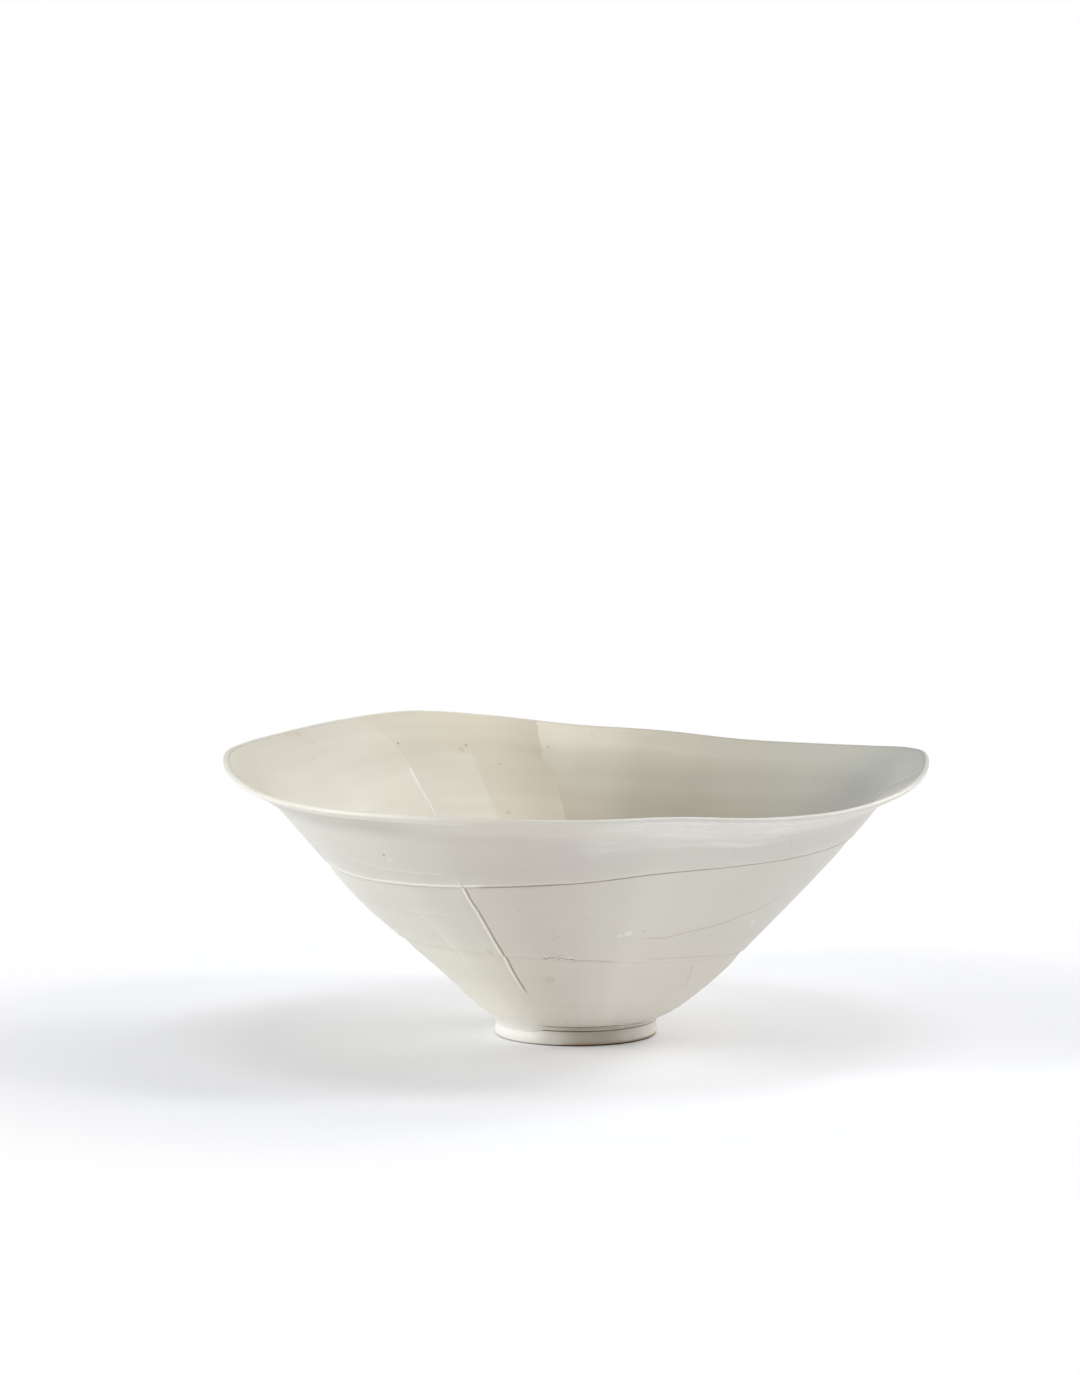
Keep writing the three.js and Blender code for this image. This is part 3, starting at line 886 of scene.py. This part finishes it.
def inside_glaze(wall, finish, name):
    paint = new_paint(name + "_glaze")
    here = paint.here()
    azimuth, up = paint.wall_place()
    if name == "sheet_right":
        azimuth = azimuth.cut_at(270.0, 0.1)
    # Glaze colour with painted light and shade round and up the inside.
    colour = paint.tones(azimuth, finish.inside, INSIDE_TONES)
    colour = paint.times(1.0, colour, paint.tones(up, WHITE[:3], INSIDE_UPWARD[name]))
    cloud = paint.noise(here, 14.0, 4.0, 0.55).ramp(0.30, 0.75)
    streak = paint.streaks(9.0, 90.0, 0.45).ramp(0.38, 0.66)
    ragged = paint.noise(here, 500.0, 3.0, 0.6) - 0.5
    colour = paint.times(cloud * 0.35, colour, (0.90, 0.88, 0.84, 1.0))
    colour = paint.times(streak * 0.8, colour, (1.05, 1.055, 1.06, 1.0))
    if name == "sheet_middle":
        frayed = paint.noise(here, 110.0, 3.0, 0.6) - 0.5
        edge = azimuth - (up - 105.0) * 0.085 - 108.9 + frayed * 0.6
        top = up + frayed * 4.0
        mask = edge.ramp(-0.2, 0.5) * top.ramp(136.0, 132.0)
        beige = (1.0 - mask) * (azimuth.ramp(127.0, 108.0) * 0.75 + 0.25)
        colour = paint.times(beige, colour, (0.95, 0.93, 0.89, 1.0))
    if name == "sheet_right":
        near = (azimuth - paint.followed(up, EDGE_UPS, MIDDLE_EDGE)).ramp(-5.0, 0.0)
        colour = paint.times(near * 0.8, colour, (0.97, 0.955, 0.92, 1.0))
    tan = spots_inside(paint, here, wall, INSIDE_TAN, ragged)
    specks = spots_inside(paint, here, wall, INSIDE_SPECKS, ragged)
    specks = specks.most(sprinkled(paint, here, 230.0, 0.025, 0.16))
    colour = paint.blend(tan * 0.4, colour, (0.66, 0.50, 0.33, 1.0))
    colour = paint.blend(specks * 0.6, colour, (0.40, 0.22, 0.10, 1.0))
    if name == "sheet_left":
        # Painted highlight along the left sheet's raised edge.
        off = (azimuth - paint.followed(up, EDGE_UPS, LEFT_EDGE)).size() * 1.9
        pale = (off - 0.6).size().ramp(0.9, 0.3) * up.ramp(100.0, 106.0) * up.ramp(131.0, 127.0)
        colour = paint.blend(pale, colour, PALE)
    gloss = {"Specular IOR Level": 0.32, "Coat Weight": 0.04, "Coat Roughness": 0.2}
    fine = paint.bumped(paint.noise(here, 800.0, 2.0, 0.5), 0.006 * MM)
    return paint.clay(colour, 0.48 + cloud * 0.1, fine, gloss)


# The foot's painted light and shade from left to right, lighter on the left and darker in the
# middle, as shares of the bare clay's own, in millimetres.
FOOT_TONES = (
    (-34.0, 1.06, 1.07, 1.10),
    (-22.0, 1.03, 1.04, 1.05),
    (-11.0, 0.81, 0.79, 0.76),
    (2.0, 0.62, 0.59, 0.52),
    (13.0, 0.68, 0.65, 0.58),
    (24.0, 0.90, 0.88, 0.85),
    (32.0, 1.00, 0.99, 0.97),
)


def bare_clay(wall, finish):
    paint = new_paint("bare_porcelain")
    here = paint.here()
    x, y, z = paint.parts(here)
    across = (x - float(wall.axis[0])) * 1000.0
    front = y.ramp(float(wall.axis[1]) + 12 * MM, float(wall.axis[1]) - 6 * MM)
    grain = paint.noise(here, 600.0, 4.0, 0.6)
    patchy = paint.noise(here, 60.0, 3.0, 0.6)
    # Painted light and shade across the foot.
    colour = paint.tones(across, finish.bare, FOOT_TONES)
    colour = paint.blend(grain.ramp(0.3, 0.7) * 0.25, colour, (0.76, 0.72, 0.63, 1.0))
    low = z.ramp(2.1 * MM, 0.4 * MM)
    right = across.ramp(-14.0, 2.0) * 0.88 + 0.10
    toast = low * patchy.ramp(0.25, 0.52) * right
    smudge = paint.noise(here, 130.0, 2.0, 0.6).ramp(0.56, 0.68) * z.ramp(3.4 * MM, 1.0 * MM)
    toast = toast.most(smudge * right * 0.5)
    colour = paint.blend(toast, colour, rgba(finish.toasted))
    # Painted contact shadow along the foot's lowest edge, fuller on the right.
    under = z.ramp(0.85 * MM, 0.50 * MM) * (across.ramp(-30.0, 4.0) * 0.6 + 0.40)
    colour = paint.blend(under, colour, (0.045, 0.032, 0.022, 1.0))
    # Painted shade in the groove between the foot ring and the coil, at the front.
    joint = (z - (wall.seat - 0.1 * MM)).size().ramp(0.55 * MM, 0.15 * MM)
    joint = joint * across.ramp(-20.0, 0.0) * (1 - across.ramp(6.0, 26.0) * 0.6)
    joint = joint * front * 0.6
    colour = paint.blend(joint, colour, (0.20, 0.16, 0.11, 1.0))
    return paint.clay(colour, 0.55 + grain * 0.15, paint.bumped(grain, 0.12 * MM, 0.5))


def foot_clay(wall, finish):
    return bpy.data.materials.get("bare_porcelain") or bare_clay(wall, finish)


# operators


def sizes_and_finish(context):
    scene = context.scene
    return Wall(scene.bowl_sizes), scene.bowl_finish


class BOWL_OT_foot_ring(bpy.types.Operator):
    """Turn the bare foot ring that the bowl stands on"""

    bl_idname = "bowl.foot_ring"
    bl_label = "Foot ring"

    def execute(self, context):
        wall, finish = sizes_and_finish(context)
        sizes = wall.sizes
        outside, inside = sizes.foot_radius - wall.WORN, sizes.foot_radius - sizes.foot_width
        edge, crest, top = wall.FOOT_EDGE, 0.35 * MM, sizes.foot_height
        toe = 1.2 * edge
        outline = []
        for turn in np.linspace(0.0, math.pi / 2, 9):
            radius = outside - edge * (1 - math.sin(turn))
            outline.append((radius, toe * (1 - math.cos(turn))))
        for share in np.linspace(0.1, 0.9, 11):
            height = toe + (top - toe - crest) * share
            outline.append((outside + 0.30 * MM * math.sin(math.pi * share), height))
        for turn in np.linspace(0.0, math.pi / 2, 6):
            radius = outside - crest * (1 - math.cos(turn))
            outline.append((radius, top - crest * (1 - math.sin(turn))))
        outline += [(inside, top), (inside, top / 2), (inside, edge)]
        for turn in np.linspace(math.pi / 2, 0.0, 6)[1:]:
            radius = inside + edge * (1 - math.sin(turn))
            outline.append((radius, edge * (1 - math.cos(turn))))
        bm = spun([(radius, height, 0.0, OUTER) for radius, height in outline], 360)
        mesh, points = baked(bm, "foot")
        turn, radius, height = polar(points)
        outer = smooth(radius, (inside + outside) / 2, outside - edge)
        rise = smooth(height, edge, 3 * MM) * outer
        radius = radius + rise * 0.12 * MM * (np.sin(3 * turn + 0.5) + 0.6 * np.sin(7 * turn))
        left = pressed_in(np.degrees(turn) % 360.0)
        radius = radius - left * outer * 0.75 * MM * smooth(height, 2.4 * MM, 5.4 * MM)
        radius = radius + left * outer * 0.25 * MM * hump(height, 2.0 * MM, 1.6 * MM)
        points = turned_to(turn, radius, height) + wall.axis
        mesh.vertices.foreach_set("co", points.ravel())
        finished("foot", mesh, "foot_ring", foot_clay(wall, finish))
        return {"FINISHED"}


class BOWL_OT_joint_bead(bpy.types.Operator):
    """Press the coil of soft clay into the joint above the foot ring"""

    bl_idname = "bowl.joint_bead"
    bl_label = "Coil in the foot joint"

    def execute(self, context):
        wall, finish = sizes_and_finish(context)
        sizes = wall.sizes
        radius = wall.neck + wall.JOINT_GAP + sizes.bead_radius
        height = wall.seat + sizes.bead_radius
        bm = bmesh.new()
        upright = Matrix.Rotation(math.pi / 2, 4, "X")
        place = Matrix.Translation((radius, 0.0, height)) @ upright
        bmesh.ops.create_circle(bm, segments=28, radius=sizes.bead_radius, matrix=place)
        full = {"angle": 2 * math.pi, "steps": 420, "use_merge": True}
        bmesh.ops.spin(bm, geom=bm.edges[:], **full, **ABOUT_AXIS)
        bmesh.ops.recalc_face_normals(bm, faces=bm.faces)
        mesh, points = baked(bm, "joint_coil")
        turn, reach, level = polar(points)
        azimuth = np.degrees(turn) % 360.0
        out, rise = reach - radius, level - height
        # round: thin, tucked under the wall, with an open groove below it at the front
        open_groove = between(azimuth, 246.0, 262.0, 300.0, 322.0)
        lumps = 1 + 0.08 * np.sin(turn * 17) + 0.06 * np.sin(turn * 41 + 1)
        crumbs = between(azimuth, 306.0, 316.0, 344.0, 352.0)
        lumps = lumps + 0.34 * crumbs * np.sin(turn * 133) * np.sin(turn * 71 + 2)
        thick = 0.80 - 0.08 * open_groove
        round_out = radius - 0.55 * MM + 0.35 * MM * open_groove + out * lumps * thick
        round_up = height + 0.15 * MM + 0.30 * MM * open_groove + rise * lumps * thick
        # wiped: a hollow fillet from the ring's side up to the foot of the wall, and back inside
        section = (np.arctan2(rise, out) + math.pi / 2) % (2 * math.pi) / math.pi
        low = np.array((sizes.foot_radius - wall.WORN - 0.9 * MM, sizes.foot_height - 2.2 * MM))
        high = np.array((sizes.foot_radius + 6.5 * MM, wall.ledge + 5.0 * MM))
        share = np.clip(section, 0.0, 1.0)
        back = np.clip(section - 1.0, 0.0, 1.0)
        bow = 1.5 * MM * np.sin(math.pi * back)
        wiped_out = low[0] + (high[0] - low[0]) * share**1.5 * (1 - back) - bow * 0.3
        wiped_up = low[1] + (high[1] - low[1]) * share**1.17 * (1 - back) + bow
        left = pressed_in(azimuth)
        reach = round_out + (wiped_out - round_out) * left
        level = round_up + (wiped_up - round_up) * left
        points = turned_to(turn, reach, level) + wall.axis
        mesh.vertices.foreach_set("co", points.ravel())
        clay = foot_clay(wall, finish)
        finished("joint_coil", mesh, "foot_joint_bead", clay)
        return {"FINISHED"}


class BOWL_OT_base_cup(bpy.types.Operator):
    """Throw the cup that makes the floor and the lowest part of the wall"""

    bl_idname = "bowl.base_cup"
    bl_label = "Base cup"

    def execute(self, context):
        wall, finish = sizes_and_finish(context)
        sizes = wall.sizes
        inner = sizes.foot_radius - sizes.foot_width
        dome, floor, curve = 1.2 * MM, 4.6 * MM, 13 * MM
        outline = []
        for share in np.linspace(0.0, 1.0, 10):
            height = wall.seat + dome * (1 - share**2)
            outline.append((inner * share, height, 0.0, HIDDEN))
        outline += [(wall.neck, wall.seat, 0.0, HIDDEN), (wall.neck, wall.ledge, 0.0, HIDDEN)]
        outline += face_under_lap(wall, 0.0, wall.lower_seam)
        top = wall.lower_seam + wall.SCARF
        outline += rows(wall, evenly(top, curve, 2 * MM), wall.thickness, INNER)
        rim = np.array(wall.at(curve, wall.thickness(curve)))
        hand = np.array(wall.at(4.3 * MM, wall.thickness(0.0)))
        middle = wall.seat + dome + floor
        for t in np.linspace(0.0, 1.0, 22)[1:]:
            point = (1 - t) ** 3 * rim + 3 * t * (1 - t) ** 2 * hand
            point = point + 3 * t * t * (1 - t) * np.array((inner / 2, middle))
            point = point + t**3 * np.array((0.0, middle))
            outline.append((point[0], point[1], curve * (1 - t), INNER))
        mesh = wall_ring(wall, "base", outline)
        finished("base", mesh, "base_cup", wall_glaze(wall, finish))
        return {"FINISHED"}


class BOWL_OT_middle_wall(bpy.types.Operator):
    """Wrap the middle section of the wall"""

    bl_idname = "bowl.middle_wall"
    bl_label = "Middle wall"

    def execute(self, context):
        wall, finish = sizes_and_finish(context)
        outline = face_under_lap(wall, wall.lower_seam + 0.5 * MM, wall.band_seam)
        top, bottom = wall.band_seam + wall.SCARF, wall.lower_seam + wall.SCARF
        outline += rows(wall, evenly(top, bottom, 2.6 * MM), wall.thickness, INNER)
        outline += lap_edge(wall, wall.lower_seam)
        mesh = wall_ring(wall, "middle", outline)
        finished("middle", mesh, "middle_wall", wall_glaze(wall, finish))
        return {"FINISHED"}


class BOWL_OT_rim_band(bpy.types.Operator):
    """Wrap the top section of the wall and round its lip"""

    bl_idname = "bowl.rim_band"
    bl_label = "Rim band"

    def execute(self, context):
        wall, finish = sizes_and_finish(context)
        ups = evenly(wall.band_seam + 0.5 * MM, wall.length, 1.0 * MM)
        outline = rows(wall, ups, lambda up: 0.0, OUTER)
        half = wall.thickness(wall.length) / 2
        for turn in np.linspace(0.0, math.pi, 11)[1:-1]:
            up = wall.length + half * math.sin(turn)
            outline.append((*wall.at(up, half * (1 - math.cos(turn))), wall.length, HIDDEN))
        bottom = wall.band_seam + wall.SCARF
        outline += rows(wall, evenly(wall.length, bottom, 1.6 * MM), wall.thickness, INNER)
        outline += lap_edge(wall, wall.band_seam)
        mesh = wall_ring(wall, "rim", outline)
        finished("rim", mesh, "rim_band", wall_glaze(wall, finish))
        return {"FINISHED"}


# The sheets' slanting edges: azimuths at heights up the wall in millimetres.
EDGE_UPS = (40.0, 103.0, 108.0, 128.0, 130.0, 135.0, 140.0, 160.0)
FAR_LEFT_EDGE = (206.0, 208.5, 208.7, 209.5, 209.6, 209.8, 210.0, 211.0)
LEFT_EDGE = (121.0, 125.4, 125.7, 127.1, 127.0, 127.5, 128.3, 131.0)
MIDDLE_EDGE = (87.0, 92.2, 92.6, 94.4, 95.2, 96.6, 96.8, 96.8)
FAR_RIGHT_EDGE = (-18.0, -15.5, -15.3, -14.5, -14.4, -14.2, -14.0, -13.0)
# Each sheet: name, CAD node, edges, which edges are tucked, and how far it stands out below and
# above, in millimetres.
SHEETS = (
    ("sheet_left", "inner_sheet_left", (LEFT_EDGE, FAR_LEFT_EDGE), (0, 0), (0.92, 0.60)),
    ("sheet_middle", "inner_sheet_middle", (MIDDLE_EDGE, LEFT_EDGE), (1, 1), (0.55, 0.55)),
    ("sheet_right", "inner_sheet_right", (FAR_RIGHT_EDGE, MIDDLE_EDGE), (0, 0), (0.61, 0.60)),
)
# How far a tucked edge runs on, how much further in it counts as, so that it isn't rounded, how
# deep a sheet's back lies in the wall, and how far in an edge is rounded.
TUCK, TUCKED, BURIED, ROUNDED = 2.2 * MM, 9 * MM, 0.12 * MM, 0.8 * MM


def laid_sheet(wall, name, edges, tucks, stand_out):
    """A thin sheet of clay on the inside of the wall. Its edges are rounded and wander slightly;
    a tucked edge runs on under its neighbour."""
    bm = bmesh.new()
    bmesh.ops.create_grid(bm, x_segments=170, y_segments=130, size=1.0)
    bmesh.ops.solidify(bm, geom=bm.faces[:], thickness=1.0)
    bmesh.ops.recalc_face_normals(bm, faces=bm.faces)
    mesh, points = baked(bm, name)
    outer = points[:, 2] > points[:, 2].mean()
    across, upwards = (points[:, 0] + 1) / 2, (points[:, 1] + 1) / 2
    across = across - 0.9 * np.sin(2 * math.pi * across) / (2 * math.pi)
    bottom, top = wall.lower_seam - 11.7 * MM, wall.length - 0.8 * MM
    up = bottom + (top - bottom) * upwards
    tuck = TUCK / wall.at(up, 0.0)[0] * 180 / math.pi
    wander = 0.10 * np.sin(up / MM / 2.3) + 0.07 * np.sin(up / MM / 0.9 + 1)
    first, last = (np.interp(up / MM, EDGE_UPS, edge) for edge in edges)
    first, last = first - tucks[0] * tuck + wander, last + tucks[1] * tuck + wander
    azimuth = first + (last - first) * across
    radius, _ = wall.at(up, wall.thickness(up))
    from_first = np.radians(azimuth - first) * radius + tucks[0] * TUCKED
    from_last = np.radians(last - azimuth) * radius + tucks[1] * TUCKED
    reach = np.minimum(np.minimum(from_first, from_last), up - bottom)
    rounding = np.clip(reach / ROUNDED, 0.0, 1.0)
    low = 1 - smooth(up, 118 * MM, 134 * MM)
    stand = stand_out[1] + (stand_out[0] - stand_out[1]) * low
    stand = stand * MM * np.sqrt(1 - (1 - rounding) ** 2)
    if name == "sheet_left":
        stand = stand + 0.16 * MM * low * hump(reach, 0.9 * MM, 0.7 * MM)
    stand = stand * smooth(top - up, 0.0, 14 * MM)
    relief = inside_relief(azimuth, up)
    depth = wall.thickness(up) + relief + np.where(outer, stand, -BURIED)
    mesh.vertices.foreach_set("co", wall.warped(azimuth, *wall.at(up, depth)).ravel())
    mesh.update()
    bm = bmesh.new()
    bm.from_mesh(mesh)
    bmesh.ops.recalc_face_normals(bm, faces=bm.faces)
    bm.to_mesh(mesh)
    bm.free()
    store_wall_uv(mesh, azimuth % 360.0, up)
    return mesh


class BOWL_OT_inner_sheets(bpy.types.Operator):
    """Lay the thin sheets of clay on the inside of the wall"""

    bl_idname = "bowl.inner_sheets"
    bl_label = "Inner sheets"

    def execute(self, context):
        wall, finish = sizes_and_finish(context)
        for name, node, edges, tucks, stand_out in SHEETS:
            mesh = laid_sheet(wall, name, edges, tucks, stand_out)
            finished(name, mesh, node, inside_glaze(wall, finish, name))
        return {"FINISHED"}


# The camera: its place from the bowl's axis, how far it looks down in degrees, and its focal
# length as a share of the frame's height.
EYE = (-0.016, -2.4, 0.4232)
LOOKS_DOWN = 6.356
FOCAL_SHARE = 5416.0 / 1375.0
SENSOR = 36.0
# The floor's colour, as the camera sees it and as it lights the bowl.
PAPER_SEEN, PAPER = (0.98, 0.99, 1.025, 1.0), (0.90, 0.90, 0.90, 1.0)
# Half the floor's width, and how far out it fades to plain white.
FLOOR_REACH = 6.0
FADE_START, FADE_END = 0.19, 0.42
# What the world gives all but the camera's rays, which see plain white.
AMBIENT = 0.370
# Softboxes: azimuth and elevation in degrees, watts and size. All stand at one distance from a
# point on the bowl's axis.
LAMP_DISTANCE, AIM_HEIGHT = 3.5, 0.06
LAMPS = (
    ("key", 29.0, 34.0, 9.9, 0.7),
    ("key_behind", 38.0, 31.0, 15.1, 0.7),
    ("key_high", 0.0, 43.0, 16.7, 0.7),
    ("key_low", 5.0, 25.0, 11.8, 0.7),
    ("low_behind", 30.0, 12.0, 18.3, 1.5),
    ("high_behind", 50.0, 60.0, 5.2, 0.7),
    ("top", 0.0, 88.0, 18.3, 1.5),
    ("left", 205.0, 36.0, 19.5, 0.7),
    ("low_left", 195.0, 12.0, 48.9, 1.5),
)


def softbox(name, azimuth, elevation, power, size):
    """A soft lamp that looks at the bowl."""
    lamp = bpy.data.lights.new(name, "AREA")
    lamp.shape = "RECTANGLE"
    lamp.size, lamp.size_y = size, size
    lamp.energy = power
    holder = placed(name, lamp)
    turn, rise = math.radians(azimuth), math.radians(elevation)
    flat = math.cos(rise)
    away = Vector((math.cos(turn) * flat, math.sin(turn) * flat, math.sin(rise)))
    holder.location = Vector((0.0, 0.0, AIM_HEIGHT)) + away * LAMP_DISTANCE
    holder.rotation_euler = away.to_track_quat("Z", "Y").to_euler()


class BOWL_OT_stage(bpy.types.Operator):
    """Set the camera, the pale floor and the soft lights"""

    bl_idname = "bowl.stage"
    bl_label = "Stage"

    def execute(self, context):
        scene = context.scene
        scene.view_settings.view_transform = "Standard"
        eye = bpy.data.cameras.new("camera")
        eye.sensor_fit = "VERTICAL"
        eye.sensor_height = SENSOR
        eye.lens = SENSOR * FOCAL_SHARE
        camera = placed("camera", eye)
        camera.location = Vector(EYE) + Vector(bowl_axis())
        camera.rotation_euler = (math.radians(90.0 - LOOKS_DOWN), 0.0, 0.0)
        scene.camera = camera

        bm = bmesh.new()
        bmesh.ops.create_grid(bm, x_segments=1, y_segments=1, size=FLOOR_REACH)
        mesh, _ = baked(bm, "floor")
        floor = placed("floor", mesh)
        paint = new_paint("floor_paper")
        seen = paint.seen()
        paper = paint.blend(seen, PAPER, PAPER_SEEN)
        diffuse = paint.add("ShaderNodeBsdfDiffuse", None, {"Color": paper})
        glow = paint.add("ShaderNodeEmission", None, {"Color": WHITE, "Strength": 1.0})
        x, y, _ = paint.parts(paint.here())
        away = (x * x + y * y).power(0.5).ramp(FADE_START, FADE_END)
        mesh.materials.append(paint.ends_in(paint.mixed(away * seen, diffuse, glow)))

        world = bpy.data.worlds.new("studio")
        scene.world = world
        paint = Paint(world)
        soft = paint.add("ShaderNodeBackground", None, {"Color": WHITE, "Strength": AMBIENT})
        white = paint.add("ShaderNodeBackground", None, {"Color": WHITE, "Strength": 1.0})
        paint.ends_in(paint.mixed(paint.seen(), soft, white), "ShaderNodeOutputWorld")

        for lamp in LAMPS:
            softbox(*lamp)
        return {"FINISHED"}


class BOWL_PT_panel(bpy.types.Panel):
    bl_idname = "BOWL_PT_panel"
    bl_label = "Porcelain bowl"
    bl_space_type = "VIEW_3D"
    bl_region_type = "UI"
    bl_category = "Bowl"

    def draw(self, context):
        layout = self.layout
        for group in (context.scene.bowl_sizes, context.scene.bowl_finish):
            for name in group.bl_rna.properties.keys():
                if name not in ("rna_type", "name"):
                    layout.prop(group, name)
        for operator in STEPS:
            layout.operator(operator.bl_idname)


STEPS = (
    BOWL_OT_stage,
    BOWL_OT_foot_ring,
    BOWL_OT_joint_bead,
    BOWL_OT_base_cup,
    BOWL_OT_middle_wall,
    BOWL_OT_rim_band,
    BOWL_OT_inner_sheets,
)
CLASSES = (BowlSizes, BowlFinish, *STEPS, BOWL_PT_panel)


def register():
    for cls in CLASSES:
        bpy.utils.register_class(cls)
    bpy.types.Scene.bowl_sizes = PointerProperty(type=BowlSizes)
    bpy.types.Scene.bowl_finish = PointerProperty(type=BowlFinish)


def unregister():
    del bpy.types.Scene.bowl_finish
    del bpy.types.Scene.bowl_sizes
    for cls in reversed(CLASSES):
        bpy.utils.unregister_class(cls)


def main():
    register()
    for step in STEPS:
        group, name = step.bl_idname.split(".")
        getattr(getattr(bpy.ops, group), name)()


if __name__ == "__main__":
    main()
